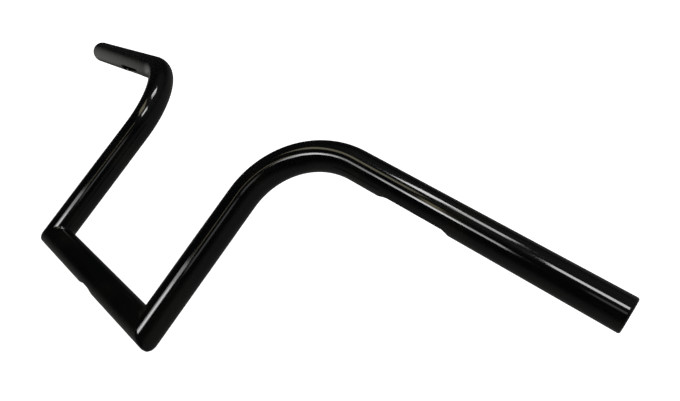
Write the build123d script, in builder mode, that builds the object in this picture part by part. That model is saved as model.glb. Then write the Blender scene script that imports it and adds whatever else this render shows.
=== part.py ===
from build123d import *
import math
import os

# A motorcycle handlebar with tall uprights, square mitred corners and swept-back grips.
# Three tubes of one diameter are welded into the bar: a short clamp tube across the middle,
# and on each side a tube that rises from it, bends once and runs out as the grip.
# Millimetres. The origin is the centre of the clamp tube, +X is the rider's right, +Y is
# forward and +Z is up. The grips lie level and sweep back towards -Y.

# tube stock: 1 inch outside diameter, 0.120 inch wall
tube_diameter = 25.4
tube_wall = 3.05

# the bar, along its centrelines
corner_spacing = 180.5  # between the two uprights
rise = 195.5  # from the clamp tube up to the grips
bend_radius = 69.5  # between an upright and its grip
grip_straight = 213.5  # from the end of the bend to the bar end
sweep_angle = 12.2  # the grips turn back this far from straight out, degrees
rim_radius = 1.6  # round outer edge of the open bar ends

# wire slots in the undersides of the grips
slot_length = 62.0
slot_width = 12.0
slot_from_bend = 58.0  # from the end of the bend to the middle of the slot
left_slot_turn = 10.0  # from straight down towards the rider, degrees
right_slot_turn = -1.0

# wire exit under the middle of the clamp tube
exit_length = 29.0
exit_width = 17.0

# welds at the mitred corners
root_gap = 0.8  # the tube ends stop this far short of the mitre
corner_radius = 2.8  # outside of the corner, ground round
bead_radius = 2.6  # fillet in the crotch of the corner
fillet_reach = 76.0  # both fillets run this far round the tubes, degrees

outer_radius = tube_diameter / 2
inner_radius = outer_radius - tube_wall
corner_x = corner_spacing / 2
fillet_edge_y = outer_radius * math.sin(math.radians(fillet_reach))
cut_reach = 1.5 * tube_diameter  # longer than anything that a cut goes through
seam_turn = 20.0  # keeps the seams of the side tubes off the bar's own planes, degrees

# The weld is a wedge that opens from the middle of the corner. These two slopes make it as
# wide as the fillets, outside the corner and in its crotch.
outside_slope = 1 - corner_radius / outer_radius
crotch_slope = 1 + bead_radius / outer_radius

# The right corner: the clamp tube comes in along +X and the upright leaves along +Z.
mitre = Plane(origin=(corner_x, 0, 0), z_dir=(1, 0, 1))
towards_crotch = Axis((corner_x, 0, 0), (-1, 0, 1))
clamp_side_of_wedge = [
    (corner_x - root_gap + outside_slope * cut_reach, -cut_reach),
    (corner_x - root_gap, 0),
    (corner_x - root_gap - crotch_slope * cut_reach, cut_reach),
]
upright_side_of_wedge = [
    (corner_x + cut_reach, root_gap - outside_slope * cut_reach),
    (corner_x, root_gap),
    (corner_x - cut_reach, root_gap + crotch_slope * cut_reach),
]

# The right-hand side tube, from its upright to its grip.
sweep_turn = math.radians(sweep_angle)
grip_way = Vector(math.cos(sweep_turn), -math.sin(sweep_turn), 0)
bend_seam = Vector(1, 0, 0).rotate(Axis.Z, seam_turn)
bend_start = Plane((corner_x, 0, rise - bend_radius), bend_seam, (0, 0, 1))
bend_centre = bend_start.origin + grip_way * bend_radius
bend_axis = Axis(bend_centre, Vector(0, 0, 1).cross(grip_way))
grip_seam = Vector(0, 0, 1).rotate(Axis((0, 0, 0), grip_way), seam_turn)
grip_start = Plane(bend_centre + Vector(0, 0, bend_radius), grip_seam, grip_way)


def side_rod(radius, beyond_end=0.0):
    """The course of the right-hand side tube as a solid rod, from below the corner."""
    with BuildPart() as rod:
        with BuildSketch(bend_start):
            Circle(radius)
        extrude(amount=-(rise - bend_radius) - cut_reach)
        with BuildSketch(bend_start):
            Circle(radius)
        revolve(axis=bend_axis, revolution_arc=90)
        with BuildSketch(grip_start):
            Circle(radius)
        extrude(amount=grip_straight + beyond_end)
    return rod.part


def corner_rods(radius):
    """The two tubes of the right corner as solid rods that meet at the mitre."""
    with BuildPart() as clamp_rod:
        with BuildSketch(Plane.YZ.offset(corner_x - cut_reach)):
            Circle(radius)
        extrude(amount=2 * cut_reach)
        split(bisect_by=mitre, keep=Keep.BOTTOM)
    with BuildPart() as rods:
        with BuildSketch(Plane.XY.offset(-cut_reach)):
            with Locations((corner_x, 0)):
                Circle(radius)
        extrude(amount=2 * cut_reach)
        split(bisect_by=mitre, keep=Keep.TOP)
        add(clamp_rod.part)
    return rods.part


def finish(piece, node):
    """Names a finished piece and writes its file."""
    piece.part.label = node
    export_step(piece.part, f"parts/{node}.step")


os.makedirs("parts", exist_ok=True)

# Clamp tube, which the risers hold, with the wire exit underneath.
with BuildPart() as clamp_tube:
    with BuildSketch(Plane.YZ):
        Circle(outer_radius)
        Circle(inner_radius, mode=Mode.SUBTRACT)
    extrude(amount=corner_x + cut_reach, both=True)
    with BuildSketch(Plane.XZ.offset(-cut_reach)):
        with BuildLine():
            Polyline((0, -cut_reach), *clamp_side_of_wedge, (0, cut_reach))
            mirror(about=Plane.YZ)
        make_face()
    extrude(amount=2 * cut_reach, mode=Mode.INTERSECT)
    with BuildSketch(Plane.XY):
        SlotOverall(exit_length, exit_width)
    extrude(amount=-cut_reach, mode=Mode.SUBTRACT)
finish(clamp_tube, "clamp_tube")

# Side tubes: upright, bend and grip in one bent tube, cut off at the corner.
with BuildPart() as plain_side_tube:
    add(side_rod(outer_radius))
    bar_end = faces().sort_by(Axis(grip_start.origin, grip_way))[-1]
    fillet(bar_end.edges(), radius=rim_radius)
    add(side_rod(inner_radius, beyond_end=cut_reach), mode=Mode.SUBTRACT)
    with BuildSketch(Plane.XZ):
        with BuildLine():
            Polyline(
                *upright_side_of_wedge,
                (corner_x - cut_reach, -2 * cut_reach),
                (corner_x + cut_reach, -2 * cut_reach),
                close=True,
            )
        make_face()
    extrude(amount=cut_reach, both=True, mode=Mode.SUBTRACT)

for side, side_name, slot_turn in (
    (-1, "left", left_slot_turn),
    (1, "right", right_slot_turn),
):
    turn = math.radians(slot_turn)
    along_grip = Vector(side * grip_way.X, grip_way.Y, 0)
    towards_rider = Vector(side * grip_way.Y, -grip_way.X, 0)
    slot_way = towards_rider * math.sin(turn) - Vector(0, 0, math.cos(turn))
    slot_middle = Vector(side * grip_start.origin.X, grip_start.origin.Y, rise)
    slot_plane = Plane(
        origin=slot_middle + along_grip * slot_from_bend,
        x_dir=along_grip,
        z_dir=slot_way,
    )
    with BuildPart() as side_tube:
        add(plain_side_tube.part)
        if side < 0:
            mirror(about=Plane.YZ, mode=Mode.REPLACE)
        with BuildSketch(slot_plane):
            SlotOverall(slot_length, slot_width)
        extrude(amount=cut_reach, mode=Mode.SUBTRACT)
    finish(side_tube, f"{side_name}_side_tube")

# Welds: a ring of weld metal in the gap at each mitre, rounded outside the corner and
# filleted in its crotch.
with BuildPart() as rounded_rods:
    add(corner_rods(outer_radius))
    with BuildSketch(Plane.XZ.offset(-fillet_edge_y)):
        with Locations((corner_x, 0)):
            Rectangle(4 * cut_reach, 4 * cut_reach)
    extrude(amount=2 * fillet_edge_y, mode=Mode.INTERSECT)
    mitre_edges = edges().filter_by(GeomType.ELLIPSE)
    fillet(mitre_edges.sort_by(towards_crotch)[0], radius=corner_radius)
    mitre_edges = edges().filter_by(GeomType.ELLIPSE)
    fillet(mitre_edges.sort_by(towards_crotch)[-1], radius=bead_radius)

with BuildPart() as right_weld:
    add(corner_rods(outer_radius))
    with BuildSketch(Plane.XZ.offset(-fillet_edge_y)):
        with Locations((corner_x, 0)):
            Rectangle(4 * cut_reach, 4 * cut_reach)
    extrude(amount=2 * fillet_edge_y, mode=Mode.SUBTRACT)
    add(rounded_rods.part)
    with BuildSketch(Plane.XZ.offset(-cut_reach)):
        with BuildLine():
            Polyline(*clamp_side_of_wedge, *reversed(upright_side_of_wedge), close=True)
        make_face()
    extrude(amount=2 * cut_reach, mode=Mode.INTERSECT)
    add(corner_rods(inner_radius), mode=Mode.SUBTRACT)
finish(right_weld, "right_corner_weld")

with BuildPart() as left_weld:
    add(right_weld.part)
    mirror(about=Plane.YZ, mode=Mode.REPLACE)
finish(left_weld, "left_corner_weld")
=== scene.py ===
import math

import bmesh
import bpy
from mathutils import Matrix, Vector


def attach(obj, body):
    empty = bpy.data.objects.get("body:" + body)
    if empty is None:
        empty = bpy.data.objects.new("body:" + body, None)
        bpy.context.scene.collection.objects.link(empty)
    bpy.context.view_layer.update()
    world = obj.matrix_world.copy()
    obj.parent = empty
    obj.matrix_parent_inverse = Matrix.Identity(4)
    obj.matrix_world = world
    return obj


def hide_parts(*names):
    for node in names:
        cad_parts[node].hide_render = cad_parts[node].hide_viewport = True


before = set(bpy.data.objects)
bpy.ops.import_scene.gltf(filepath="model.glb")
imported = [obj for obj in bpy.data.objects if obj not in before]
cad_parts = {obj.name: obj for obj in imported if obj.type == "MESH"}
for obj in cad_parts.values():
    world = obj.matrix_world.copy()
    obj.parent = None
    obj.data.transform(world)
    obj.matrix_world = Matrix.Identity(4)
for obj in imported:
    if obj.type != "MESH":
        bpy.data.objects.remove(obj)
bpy.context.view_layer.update()
print("frame loaded:", ", ".join(sorted(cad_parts)))

# Lengths in the dictionaries are millimetres, unless a note says metres.
mm = 0.001
onPlane = 0.1 * mm  # an edge this near a plane lies on it
sharpAngle = math.radians(50)
smoothAngle = math.radians(35)

tube = {
    "radius": 12.685,
    "wall": 3.03,
    "sides": 128,  # facets round a tube
    "facet": 2.0,  # length of a facet along a straight run
    "cornerX": 90.25,  # each upright, from the middle of the bar
    "cutBeyond": 20.0,  # a tube is made this much too long before its mitre is cut
}


def makeActive(piece):
    bpy.ops.object.select_all(action="DESELECT")
    piece.select_set(True)
    bpy.context.view_layer.objects.active = piece


def openMesh(piece):
    makeActive(piece)
    bpy.ops.object.mode_set(mode="EDIT")
    bpy.ops.mesh.select_all(action="SELECT")


def closeMesh():
    bpy.ops.object.mode_set(mode="OBJECT")


def pick(piece, kind, test):
    # kind is verts, edges or faces; those that pass the test end up selected
    selectMode = {"verts": "VERT", "edges": "EDGE", "faces": "FACE"}[kind]
    bpy.ops.mesh.select_mode(type=selectMode)
    bpy.ops.mesh.select_all(action="DESELECT")
    shape = bmesh.from_edit_mesh(piece.data)
    for element in getattr(shape, kind):
        if test(element):
            element.select_set(True)
    shape.select_flush_mode()
    bmesh.update_edit_mesh(piece.data)


def moveSelected(piece, newPlace):
    shape = bmesh.from_edit_mesh(piece.data)
    for vertex in shape.verts:
        if vertex.select:
            vertex.co = newPlace(vertex.co)
    bmesh.update_edit_mesh(piece.data)


def applyModifier(piece, kind, **settings):
    makeActive(piece)
    modifier = piece.modifiers.new(kind.lower(), kind)
    for name, value in settings.items():
        setattr(modifier, name, value)
    bpy.ops.object.modifier_apply(modifier=modifier.name)


def applyPlace(piece, place=None):
    if place is not None:
        piece.matrix_world = place
    makeActive(piece)
    bpy.ops.object.transform_apply(location=True, rotation=True, scale=True)


def edgeMiddle(edge):
    return (edge.verts[0].co + edge.verts[1].co) / 2


def isSharp(edge):
    return len(edge.link_faces) == 2 and edge.calc_face_angle(0) > sharpAngle


class Sock:
    # one shader socket; adding, taking away and multiplying make its Math nodes

    def __init__(self, tree, socket=None):
        self.tree = tree
        self.socket = socket

    def feed(self, target, value):
        if isinstance(value, Sock):
            self.tree.links.new(value.socket, target)
        else:
            target.default_value = value

    def add(self, kind, settings=None, inputs=None, out=0):
        node = self.tree.nodes.new("ShaderNode" + kind)
        for name, value in (settings or {}).items():
            setattr(node, name, value)
        for name, value in (inputs or {}).items():
            self.feed(node.inputs[name], value)
        return Sock(self.tree, node.outputs[out])

    def maths(self, operation, *values):
        return self.add("Math", {"operation": operation}, dict(enumerate(values)))

    def __add__(self, other):
        return self.maths("ADD", self, other)

    def __sub__(self, other):
        return self.maths("SUBTRACT", self, other)

    def __rsub__(self, other):
        return self.maths("SUBTRACT", other, self)

    def __mul__(self, other):
        return self.maths("MULTIPLY", self, other)

    __radd__ = __add__
    __rmul__ = __mul__

    def between(self, low, high):
        # 0 below low, 1 above high, smooth between
        settings = {"interpolation_type": "SMOOTHSTEP"}
        return self.add("MapRange", settings, {"Value": self, "From Min": low, "From Max": high})

    def blend(self, first, second):
        # first colour where this is 0, second where it is 1
        inputs = {0: self, 6: first, 7: second}
        return self.add("Mix", {"data_type": "RGBA"}, inputs, out=2)


def newMaterial(name):
    material = bpy.data.materials.new(name)
    material.use_nodes = True
    tree = material.node_tree
    return material, Sock(tree), tree.nodes["Principled BSDF"]


paint = {
    "colour": (0.0003, 0.0004, 0.0006, 1),
    "thinColour": (0.0012, 0.0011, 0.0009, 1),  # where the coat is thinner
    "cloudScale": 26.0,  # scales are per metre, heights are metres
    "thinFrom": (0.42, 0.72),
    "roughness": 0.07,
    "roughnessSpread": 0.035,
    "mottleScale": 900.0,
    "mottleFrom": (0.3, 0.75),
    "peelScale": 520.0,  # orange peel of about 2 mm
    "peelHeight": 0.0000015,
    "waveScale": 48.0,  # the long waves of a drawn tube
    "waveHeight": 0.000018,
}

dust = {
    "colour": (0.03, 0.029, 0.027, 1),
    "scale": 320.0,
    "edge": (0.03, 0.07),  # a speck is a few tenths of a millimetre across
    "rarity": (0.985, 0.992),  # how few of the cells hold a speck
    "cover": 0.15,
    "roughness": 0.5,
    "height": 0.0000015,
}


def paintMaterial(name, waveHeight):
    material, sock, surface = newMaterial(name)
    place = sock.add("TexCoord", out="Object")
    cloudInputs = {"Vector": place, "Scale": paint["cloudScale"], "Detail": 3.0}
    cloud = sock.add("TexNoise", None, cloudInputs)
    mottleInputs = {"Vector": place, "Scale": paint["mottleScale"], "Detail": 2.0}
    fine = sock.add("TexNoise", None, mottleInputs)
    thin = cloud.between(*paint["thinFrom"])
    speckInputs = {"Vector": place, "Scale": dust["scale"], "Randomness": 1.0}
    speck = sock.add("TexVoronoi", None, speckInputs, out="Distance")
    chance = sock.add("TexVoronoi", None, speckInputs, out="Color")
    lucky = sock.add("SeparateColor", None, {"Color": chance}, out="Red").between(*dust["rarity"])
    dusty = (1 - speck.between(*dust["edge"])) * lucky * dust["cover"]
    bare = thin.blend(paint["colour"], paint["thinColour"])
    sock.feed(surface.inputs["Base Color"], dusty.blend(bare, dust["colour"]))
    mottle = cloud * 0.6 + fine * 0.4
    rough = mottle.between(*paint["mottleFrom"]) * paint["roughnessSpread"] + paint["roughness"]
    sock.feed(surface.inputs["Roughness"], rough + dusty * dust["roughness"])
    peelInputs = {"Vector": place, "Scale": paint["peelScale"], "Detail": 1.5}
    peel = sock.add("TexNoise", None, peelInputs)
    waveInputs = {"Vector": place, "Scale": paint["waveScale"], "Detail": 1.0}
    wave = sock.add("TexNoise", None, waveInputs)
    height = peel * paint["peelHeight"] + wave * waveHeight + dusty * dust["height"]
    bump = sock.add("Bump", None, {"Height": height, "Strength": 1.0, "Distance": 1.0})
    sock.feed(surface.inputs["Normal"], bump)
    surface.inputs["IOR"].default_value = 1.5
    return material


bore = {
    # the steel colour is painted darker than bare steel: painted shade inside the bore
    "steelWithPaintedShade": (0.10, 0.095, 0.09, 1),
    "oxide": (0.022, 0.020, 0.018, 1),
    "overspray": (0.010, 0.010, 0.010, 1),
    "oxideScale": 70.0,
    "oxideFrom": (0.35, 0.65),
    "sprayScale": 380.0,
    "sprayFrom": (0.55, 0.72),
    "metallic": (0.9, 0.1),  # bare, and under the overspray
    "roughness": (0.62, 0.47),  # of the steel, and of the oxide
    "sprayHeight": 0.00004,
    "oxideHeight": 0.0001,
}


def boreMaterial():
    # the bare inside of the tube, clouded with oxide and spots of paint; its steel colour is painted darker
    # than bare steel, as painted shade inside the bore
    material, sock, surface = newMaterial("boreSteel")
    place = sock.add("TexCoord", out="Object")
    cloudInputs = {"Vector": place, "Scale": bore["oxideScale"], "Detail": 5.0}
    cloud = sock.add("TexNoise", None, cloudInputs)
    sprayInputs = {"Vector": place, "Scale": bore["sprayScale"], "Detail": 3.0}
    spots = sock.add("TexNoise", None, sprayInputs)
    oxidised = cloud.between(*bore["oxideFrom"])
    metal = oxidised.blend(bore["steelWithPaintedShade"], bore["oxide"])
    sprayed = spots.between(*bore["sprayFrom"])
    sock.feed(surface.inputs["Base Color"], sprayed.blend(metal, bore["overspray"]))
    bareMetal, sprayedMetal = bore["metallic"]
    sock.feed(surface.inputs["Metallic"], bareMetal - sprayed * (bareMetal - sprayedMetal))
    steelRough, oxideRough = bore["roughness"]
    sock.feed(surface.inputs["Roughness"], steelRough - oxidised * (steelRough - oxideRough))
    height = spots * bore["sprayHeight"] + cloud * bore["oxideHeight"]
    bump = sock.add("Bump", None, {"Height": height, "Strength": 1.0, "Distance": 1.0})
    sock.feed(surface.inputs["Normal"], bump)
    return material


weldWaves = 5  # the paint on a weld waves this many times as high
blackPaint = paintMaterial("glossBlackPaint", paint["waveHeight"])
weldPaint = paintMaterial("glossBlackOnWeld", paint["waveHeight"] * weldWaves)
boreSteel = boreMaterial()
print("materials made")


cameraView = {
    "spot": (-0.45951, 0.34262, 0.10636),  # metres
    "aim": (-0.01643, -0.19212, 0.19428),
    "roll": 34.5915,  # degrees
    "lens": 32.81,
}


def makeCamera():
    data = bpy.data.cameras.new("camera")
    camera = bpy.data.objects.new("camera", data)
    bpy.context.scene.collection.objects.link(camera)
    spot = Vector(cameraView["spot"])
    look = (Vector(cameraView["aim"]) - spot).to_track_quat("-Z", "Y")
    roll = Matrix.Rotation(math.radians(cameraView["roll"]), 4, "Z")
    camera.matrix_world = Matrix.Translation(spot) @ look.to_matrix().to_4x4() @ roll
    data.lens = cameraView["lens"]
    data.clip_start = 0.01
    bpy.context.scene.camera = camera


makeCamera()


# A tube is made flat and rolled up, so that its slot can be opened while it is still flat.

def flatStrip(name, length):
    # A flat sheet in XZ that faces -Y: X runs along the tube and Z goes round it.
    girth = 2 * math.pi * tube["radius"] * mm
    bpy.ops.object.select_all(action="DESELECT")
    steps = round(length / tube["facet"])
    bpy.ops.mesh.primitive_grid_add(x_subdivisions=steps, y_subdivisions=tube["sides"], size=1)
    strip = bpy.context.object
    strip.name = strip.data.name = name
    strip.scale = (length * mm, girth, 1)
    strip.rotation_euler = (math.radians(90), 0, 0)
    strip.location = (length * mm / 2, 0, 0)
    applyPlace(strip)
    return strip


def cutSlot(strip, slot):
    # Opens a slot with round ends at Z = 0. The sheet is still flat, so widths that go
    # round the tube are worked out as seen straight on to the slot.
    radius = tube["radius"] * mm
    middle = slot["middle"] * mm
    endRadius = slot["width"] * mm / 2
    straight = slot["length"] * mm / 2 - endRadius
    around = slot["around"] * mm

    def inBlock(face):
        place = face.calc_center_median()
        across = abs(math.sin(place.z / radius) * radius)
        near = abs(place.z) < radius * math.pi / 2
        along = abs(place.x - middle)
        return near and across < endRadius + around and along < straight + endRadius + around

    def ontoOutline(gap):
        def newPlace(place):
            across = math.sin(place.z / radius) * radius
            along = place.x - middle
            base = max(-straight, min(straight, along))
            away = Vector((along - base, across)).normalized() * (endRadius + gap)
            turned = math.asin(away.y / radius) * radius
            return Vector((middle + base + away.x, 0, turned))
        return newPlace

    openMesh(strip)
    pick(strip, "faces", inBlock)
    bpy.ops.mesh.delete(type="FACE")
    halfLength = straight + endRadius + around + 2 * tube["facet"] * mm

    def onHole(edge):
        place = edgeMiddle(edge)
        inside = abs(place.x - middle) < halfLength and abs(place.z) < radius * 1.5
        return edge.is_boundary and inside

    pick(strip, "edges", onHole)
    for gap in slot["rings"]:
        bpy.ops.mesh.extrude_edges_move()
        moveSelected(strip, ontoOutline(gap * mm))
    closeMesh()


def rollUp(strip):
    # The sheet becomes a tube along X, with the slot facing -Y.
    applyModifier(strip, "SIMPLE_DEFORM", deform_method="BEND", deform_axis="X", angle=2 * math.pi)
    openMesh(strip)
    bpy.ops.mesh.remove_doubles(threshold=0.00002)
    closeMesh()
    applyPlace(strip, Matrix.Translation((0, -tube["radius"] * mm, 0)))


def wallAndLips(piece, lips):
    # Normals are set right before the wall gets its thickness.
    openMesh(piece)
    bpy.ops.mesh.remove_doubles(threshold=0.000002)
    bpy.ops.mesh.normals_make_consistent(inside=False)
    closeMesh()
    for material in (blackPaint, boreSteel):
        piece.data.materials.append(material)
    wall = tube["wall"] * mm
    applyModifier(piece, "SOLIDIFY", thickness=wall, offset=-1, material_offset=1)
    for test, width, segments in lips:
        openMesh(piece)
        pick(piece, "edges", test)
        bpy.ops.mesh.bevel(offset=width * mm, segments=segments, affect="EDGES", profile=0.5)
        closeMesh()


def cutAway(piece, point, normal):
    # Keeps the side that the normal points to.
    openMesh(piece)
    bpy.ops.mesh.bisect(plane_co=point, plane_no=normal, clear_inner=True)
    closeMesh()


def finishPiece(piece, node):
    makeActive(piece)
    bpy.ops.object.shade_smooth_by_angle(angle=smoothAngle)
    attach(piece, "root")
    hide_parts(node)
    print(piece.name, "made:", len(piece.data.polygons), "faces")


corner = {
    "rootGap": 0.8,  # the tube ends stop this far short of the mitre
    "outsideRadius": 2.8,
    "crotchRadius": 2.6,
}
outsideSlope = 1 - corner["outsideRadius"] / tube["radius"]
crotchSlope = 1 + corner["crotchRadius"] / tube["radius"]


clampTube = {
    "lip": 0.7,  # round edge of the wire exit
    "exit": {"middle": 0, "length": 29.0, "width": 17.0, "around": 2.2, "rings": (1.3, 0.0)},
}


def makeClampTube():
    length = 2 * (tube["cornerX"] + tube["cutBeyond"])
    piece = flatStrip("clampTube", length)
    applyPlace(piece, Matrix.Translation((-length / 2 * mm, 0, 0)))
    cutSlot(piece, clampTube["exit"])
    rollUp(piece)
    applyPlace(piece, Matrix.Rotation(math.radians(90), 4, "X"))  # the exit faces down
    for side in (-1, 1):
        point = (side * (tube["cornerX"] - corner["rootGap"]) * mm, 0, 0)
        for slope in (outsideSlope, crotchSlope):
            cutAway(piece, point, (-side, 0, -slope))
    exitReach = clampTube["exit"]["length"] * mm

    def onExit(edge):
        return isSharp(edge) and abs(edgeMiddle(edge).x) < exitReach

    wallAndLips(piece, [(onExit, clampTube["lip"], 3)])
    finishPiece(piece, "clamp_tube")


makeClampTube()


sideTube = {
    "rise": 195.5,
    "bendRadius": 69.5,
    "bendSteps": 40,
    "gripLength": 213.48,
    "sweep": 12.2,  # degrees
    "slotTurn": {-1: 10.0, 1: -1.0},  # degrees, from straight down towards the rider
    "slot": {"middle": 58.0, "length": 62.0, "width": 12.0, "around": 2.2, "rings": (1.3, 0.0)},
    "slotLip": 0.6,
    "rimRadius": 1.6,
}


def makeSideTube(name, side, node):
    piece = flatStrip(name, sideTube["gripLength"])
    cutSlot(piece, sideTube["slot"])
    rollUp(piece)
    sweep = math.radians(sideTube["sweep"])
    along = Vector((side * math.cos(sweep), -math.sin(sweep), 0))
    rider = Vector((-side * math.sin(sweep), -math.cos(sweep), 0))
    turn = math.radians(sideTube["slotTurn"][side])
    slotWay = rider * math.sin(turn) - Vector((0, 0, math.cos(turn)))
    bendRadius = sideTube["bendRadius"] * mm
    rise = sideTube["rise"] * mm
    foot = Vector((side * tube["cornerX"] * mm, 0, 0))
    gripStart = foot + along * bendRadius + Vector((0, 0, rise))
    axes = Matrix((along, -slotWay, along.cross(-slotWay))).transposed()
    applyPlace(piece, Matrix.LocRotScale(gripStart, axes.to_quaternion(), None))

    def onBendEnd(edge):
        return edge.is_boundary and abs((edgeMiddle(edge) - gripStart).dot(along)) < onPlane

    # the end ring by the bend is spun down to the upright and then run out past the corner
    openMesh(piece)
    pick(piece, "edges", onBendEnd)
    bendCentre = gripStart - Vector((0, 0, bendRadius))
    spinAxis = along.cross(Vector((0, 0, 1)))
    bpy.ops.mesh.spin(
        steps=sideTube["bendSteps"], angle=math.radians(-90), center=bendCentre, axis=spinAxis
    )
    drop = rise - bendRadius + tube["cutBeyond"] * mm
    bpy.ops.mesh.extrude_edges_move(TRANSFORM_OT_translate={"value": (0, 0, -drop)})
    closeMesh()
    gapPoint = foot + Vector((0, 0, corner["rootGap"] * mm))
    for slope in (outsideSlope, crotchSlope):
        cutAway(piece, gapPoint, (side * slope, 0, 1))

    endPlane = gripStart + along * sideTube["gripLength"] * mm
    outer = (tube["radius"] - 0.2) * mm  # only the outer rim lies beyond this

    def onBarEnd(edge):
        place = edgeMiddle(edge) - endPlane
        level = place.dot(along)
        return isSharp(edge) and abs(level) < onPlane and (place - along * level).length > outer

    def onOtherLips(edge):
        place = edgeMiddle(edge)
        return isSharp(edge) and place.z > rise / 2 and (place - endPlane).dot(along) < onPlane

    lips = [(onBarEnd, sideTube["rimRadius"], 6), (onOtherLips, sideTube["slotLip"], 3)]
    wallAndLips(piece, lips)
    finishPiece(piece, node)


makeSideTube("leftSideTube", -1, "left_side_tube")
makeSideTube("rightSideTube", 1, "right_side_tube")


weld = {
    "steps": 10,  # facets across the round
    "reach": 16.0,  # how far its two tube stubs run before they are cut short
    "ripples": 19,  # round the corner
    "rippleDepth": 0.13,
    "rippleWander": 1.1,  # how uneven the ripples are
    "rippleSlant": 700.0,  # per metre across the bead
}


def makeWeld(name, side, node):
    radius = tube["radius"] * mm
    reach = weld["reach"] * mm
    onMitrePlane = 0.01 * mm
    foot = Vector((side * tube["cornerX"] * mm, 0, 0))
    bpy.ops.object.select_all(action="DESELECT")
    bpy.ops.mesh.primitive_circle_add(
        vertices=tube["sides"], radius=radius, rotation=(0, math.radians(90), 0),
        location=foot - Vector((side * (reach + radius), 0, 0)),
    )
    piece = bpy.context.object
    piece.name = piece.data.name = name
    applyPlace(piece)
    openMesh(piece)
    bpy.ops.mesh.extrude_edges_move(
        TRANSFORM_OT_translate={"value": (side * (reach + 3 * radius), 0, 0)}
    )
    bpy.ops.mesh.select_all(action="SELECT")
    bpy.ops.mesh.bisect(plane_co=foot, plane_no=(side, 0, 1), clear_outer=True)

    def onMitre(edge):
        place = edgeMiddle(edge) - foot
        return edge.is_boundary and abs(side * place.x + place.z) < onMitrePlane

    def onInnerRing(edge):
        places = [vertex.co - foot for vertex in edge.verts]
        level = all(abs(side * place.x + place.z) < onMitrePlane for place in places)
        return level and not edge.is_boundary

    pick(piece, "edges", onMitre)
    bpy.ops.mesh.extrude_edges_move(
        TRANSFORM_OT_translate={"value": (0, 0, reach + 2 * radius)}
    )
    pick(piece, "edges", onInnerRing)
    bpy.ops.mesh.bevel(
        offset=corner["outsideRadius"] * mm, segments=weld["steps"], affect="EDGES", profile=0.5
    )
    closeMesh()
    clampPoint = foot - Vector((side * corner["rootGap"] * mm, 0, 0))
    gapPoint = foot + Vector((0, 0, corner["rootGap"] * mm))
    # what is kept lies beyond the clamp tube's cuts and below the upright's
    for point, ways in (
        (clampPoint, ((side, 0, outsideSlope), (side, 0, crotchSlope))),
        (gapPoint, ((-side * outsideSlope, 0, -1), (-side * crotchSlope, 0, -1))),
    ):
        keepBeyondEither(piece, point, ways)
    ripple(piece, foot, side)
    wallAndLips(piece, [])
    piece.data.materials[0] = weldPaint
    finishPiece(piece, node)


def ripple(piece, foot, side):
    # The bead's surface dips between its ripples; its edges stay level with the tubes.
    openMesh(piece)
    shape = bmesh.from_edit_mesh(piece.data)
    depth = weld["rippleDepth"] * mm
    for vertex in shape.verts:
        if vertex.is_boundary:
            continue
        place = vertex.co - foot
        lean = side * place.x + place.z  # across the bead
        turn = math.atan2(place.y, (place.z - side * place.x) / math.sqrt(2))
        wander = weld["rippleWander"] * math.sin(3 * turn + side)
        phase = weld["ripples"] * turn + wander + weld["rippleSlant"] * lean
        dip = depth * (0.5 + 0.5 * math.sin(phase))
        vertex.co -= place.normalized() * dip
    bmesh.update_edit_mesh(piece.data)
    closeMesh()


def keepBeyondEither(piece, point, ways):
    # The cut has two slopes, which meet on the line through the point: the first is for the
    # outside of the corner and the second for its crotch.
    outsideWay, crotchWay = (Vector(way) for way in ways)
    openMesh(piece)
    for way in (outsideWay, crotchWay):
        bpy.ops.mesh.select_all(action="SELECT")
        bpy.ops.mesh.bisect(plane_co=point, plane_no=way)

    def outOfBoth(face):
        place = face.calc_center_median() - Vector(point)
        return place.dot(outsideWay) < 0 and place.dot(crotchWay) < 0

    pick(piece, "faces", outOfBoth)
    bpy.ops.mesh.delete(type="FACE")
    closeMesh()


makeWeld("leftCornerWeld", -1, "left_corner_weld")
makeWeld("rightCornerWeld", 1, "right_corner_weld")


studio = {
    "floorDrop": 0.30,  # metres below the bar
    "floorSize": 40.0,
    "paper": (0.93, 0.93, 0.93, 1),
    "backdrop": 1.35,
    "roomDark": 0.013,  # what the paint sees of the room, away from the panels
    "roomTint": (1.0, 0.99, 0.94, 1),
}

# The paint mirrors a dim room: each lobe is a side of it, with how it fades in and how much
# brighter than the dark side it is.
roomLobes = [
    {"way": (-0.50, -0.87, 0.0), "span": (-0.20, 0.50), "bright": 0.12},
    {"way": (0.40, -0.40, -0.82), "span": (0.35, 0.95), "bright": 0.12},
    {"way": (-0.20, 0.60, 0.77), "span": (0.55, 1.0), "bright": 0.10},
    {"way": (0.975, -0.16, -0.13), "span": (0.945, 0.998), "bright": 0.27},
]

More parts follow.
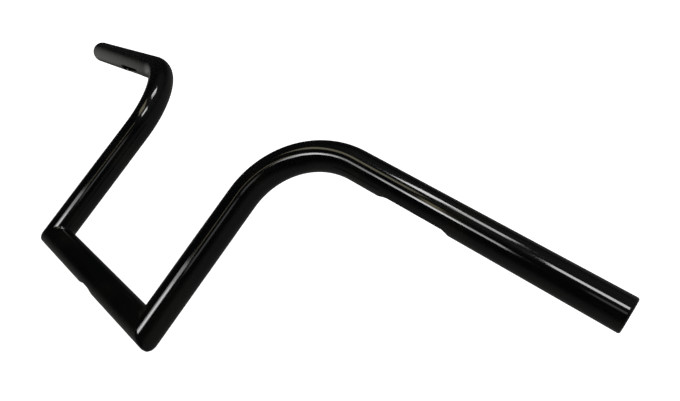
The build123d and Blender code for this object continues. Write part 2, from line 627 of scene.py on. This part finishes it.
# Panels that the paint mirrors: middle, width and height in metres, brightness and any tint.
panels = {
    "highLeft": {"spot": (0.235, 1.44, 1.70), "size": (0.21, 0.60), "bright": 14.0},
    "highRight": {"spot": (-0.03, 1.44, 1.74), "size": (0.26, 0.50), "bright": 8.5},
    "sideHigh": {"spot": (-0.62, 1.90, 1.10), "size": (0.42, 0.48), "bright": 12.0},
    "lowFar": {"spot": (0.31, 1.50, -0.27), "size": (0.22, 0.22), "bright": 4.5},
    "lowLeft": {"spot": (0.145, 1.50, -0.27), "size": (0.11, 0.22), "bright": 9.0},
    "lowMiddle": {"spot": (-0.015, 1.50, -0.27), "size": (0.21, 0.22), "bright": 15.0},
    "lowRight": {"spot": (-0.20, 1.50, -0.27), "size": (0.16, 0.22), "bright": 7.5},
    "lowTop": {"spot": (0.06, 1.50, -0.12), "size": (0.68, 0.08), "bright": 4.5},
    "warmWall": {"spot": (0.45, 1.60, 0.72), "size": (0.75, 0.34), "bright": 2.2, "tint": (1, 0.93, 0.66)},
    "warmPost": {"spot": (-0.03, 1.50, 0.13), "size": (0.07, 0.40), "bright": 2.4, "tint": (1, 0.90, 0.55)},
    "coolPatch": {"spot": (-0.72, 1.50, 0.02), "size": (0.34, 0.28), "bright": 0.9},
}


def makeFloor():
    bpy.ops.object.select_all(action="DESELECT")
    bpy.ops.mesh.primitive_plane_add(size=studio["floorSize"], location=(0, 0, -studio["floorDrop"]))
    floor = bpy.context.object
    floor.name = "floor"
    applyPlace(floor)
    material, sock, surface = newMaterial("paper")
    place = sock.add("TexCoord", out="Object")
    grain = sock.add("TexNoise", None, {"Vector": place, "Scale": 300.0, "Detail": 3.0})
    sock.feed(surface.inputs["Roughness"], grain * 0.1 + 0.8)
    surface.inputs["Base Color"].default_value = studio["paper"]
    floor.data.materials.append(material)
    floor.visible_glossy = False


def makePanels():
    middle = Vector((0, 0, 0.1))
    for name, panel in panels.items():
        data = bpy.data.lights.new(name, "AREA")
        data.shape = "RECTANGLE"
        data.size, data.size_y = panel["size"]
        data.energy = panel["bright"] * math.pi * data.size * data.size_y  # brightness to watts
        data.color = panel.get("tint", (1, 1, 1))
        lamp = bpy.data.objects.new(name, data)
        bpy.context.scene.collection.objects.link(lamp)
        spot = Vector(panel["spot"])
        look = (middle - spot).to_track_quat("-Z", "Y").to_matrix().to_4x4()
        lamp.matrix_world = Matrix.Translation(spot) @ look
        lamp.visible_camera = False


def makeWorld():
    world = bpy.data.worlds.new("studio")
    bpy.context.scene.world = world
    world.use_nodes = True
    tree = world.node_tree
    tree.nodes.clear()
    sock = Sock(tree)
    way = sock.add("TexCoord", out="Generated")
    room = studio["roomDark"]
    for lobe in roomLobes:
        inputs = {0: way, 1: lobe["way"]}
        facing = sock.add("VectorMath", {"operation": "DOT_PRODUCT"}, inputs, out=1)
        glow = facing.between(*lobe["span"]) * lobe["bright"] + studio["roomDark"]
        room = sock.maths("MAXIMUM", glow, room)
    mirrored = sock.add("Background", None, {"Strength": room})
    seen = sock.add("Background", None, {"Strength": studio["backdrop"]})
    glossy = sock.add("LightPath", out="Is Glossy Ray")
    sock.feed(seen.socket.node.inputs["Color"], (1, 1, 1, 1))
    sock.feed(mirrored.socket.node.inputs["Color"], studio["roomTint"])
    both = sock.add("MixShader", None, {0: glossy, 1: seen, 2: mirrored})
    output = tree.nodes.new("ShaderNodeOutputWorld")
    sock.feed(output.inputs["Surface"], both)


makeFloor()
makePanels()
makeWorld()
bpy.context.scene.view_settings.view_transform = "Standard"
print("floor and light made")
